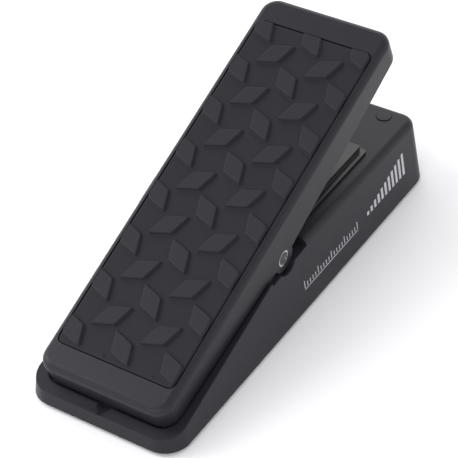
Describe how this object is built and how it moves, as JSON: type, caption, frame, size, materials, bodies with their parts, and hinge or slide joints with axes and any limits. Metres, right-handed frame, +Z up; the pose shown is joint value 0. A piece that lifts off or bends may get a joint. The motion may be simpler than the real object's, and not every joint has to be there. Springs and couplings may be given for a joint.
{
  "type": "volume pedal",
  "caption": "Foot volume pedal: a wedge housing carries a rocking treadle with a lozenge-pattern rubber pad, and a steel band turns the control inside.",
  "frame": {"origin": "on the floor, under the middle of the housing", "axes": "+Y from the heel end to the toe end, +X to the player's right, +Z up"},
  "size_m": [0.099, 0.284, 0.1209],
  "materials": {
    "housing_paint": "satin charcoal powder coat, fine texture",
    "treadle_paint": "satin charcoal powder coat, fine texture",
    "pad_rubber": "matt moulded rubber",
    "stop_rubber": "matt rubber",
    "foot_rubber": "matt rubber",
    "cover_plastic": "fine-grained black",
    "bearing_plastic": "natural nylon",
    "arm_plastic": "black nylon",
    "jack_plastic": "black nylon",
    "wire_plastic": "PVC insulation",
    "board_laminate": "green solder mask",
    "chip_plastic": "black epoxy",
    "bright_steel": "polished",
    "zinc_steel": "zinc plated",
    "spring_steel": "bright rolled",
    "dark_steel": "black oxide",
    "cover_sheet": "satin black",
    "brass": "turned",
    "control_case": "nickel plated"
  },
  "bodies": {
    "housing": {"base_housing": "housing_paint", "bottom_cover": "cover_sheet", "bottom_screws": "zinc_steel", "rubber_feet": "foot_rubber", "mechanism_cover": "cover_plastic", "mechanism_cover_screws": "dark_steel", "heel_bumpers": "stop_rubber", "toe_bumpers": "stop_rubber", "bearing_bushes": "bearing_plastic", "control_body": "control_case", "control_terminals": "brass", "control_nut": "zinc_steel", "control_washer": "zinc_steel", "control_bracket": "zinc_steel", "bracket_screws": "zinc_steel", "control_wires": "wire_plastic", "circuit_board": "board_laminate", "board_components": "chip_plastic", "board_screws": "zinc_steel", "input_jack": "jack_plastic", "tuner_jack": "jack_plastic", "output_jack": "jack_plastic", "jack_nuts": "zinc_steel", "jack_washers": "zinc_steel", "jack_wires": "wire_plastic"},
    "treadle": {"treadle": "treadle_paint", "tread_pad": "pad_rubber", "pivot_shaft": "dark_steel", "pivot_sleeves": "bright_steel", "shaft_clips": "spring_steel", "drive_arm": "arm_plastic", "drive_arm_screws": "zinc_steel", "drive_band": "spring_steel", "band_screws": "brass"},
    "drum": {"band_drum": "brass", "band_wrap": "spring_steel", "drum_set_screw": "dark_steel", "control_shaft": "zinc_steel"}
  },
  "joints": [
    {"name": "treadle_pivot", "type": "hinge", "parent": "housing", "child": "treadle", "pos_m": [0, -0.017, 0.046], "axis": [-1, 0, 0], "range_deg": [0, 20.6]},
    {"name": "control_turn", "type": "hinge", "parent": "housing", "child": "drum", "pos_m": [0, 0.01716, 0.02208], "axis": [1, 0, 0], "range_deg": [0, 145]}
  ],
  "couplings": [
    {"joint": "control_turn", "follows": "treadle_pivot", "ratio": 7.0194}
  ]
}
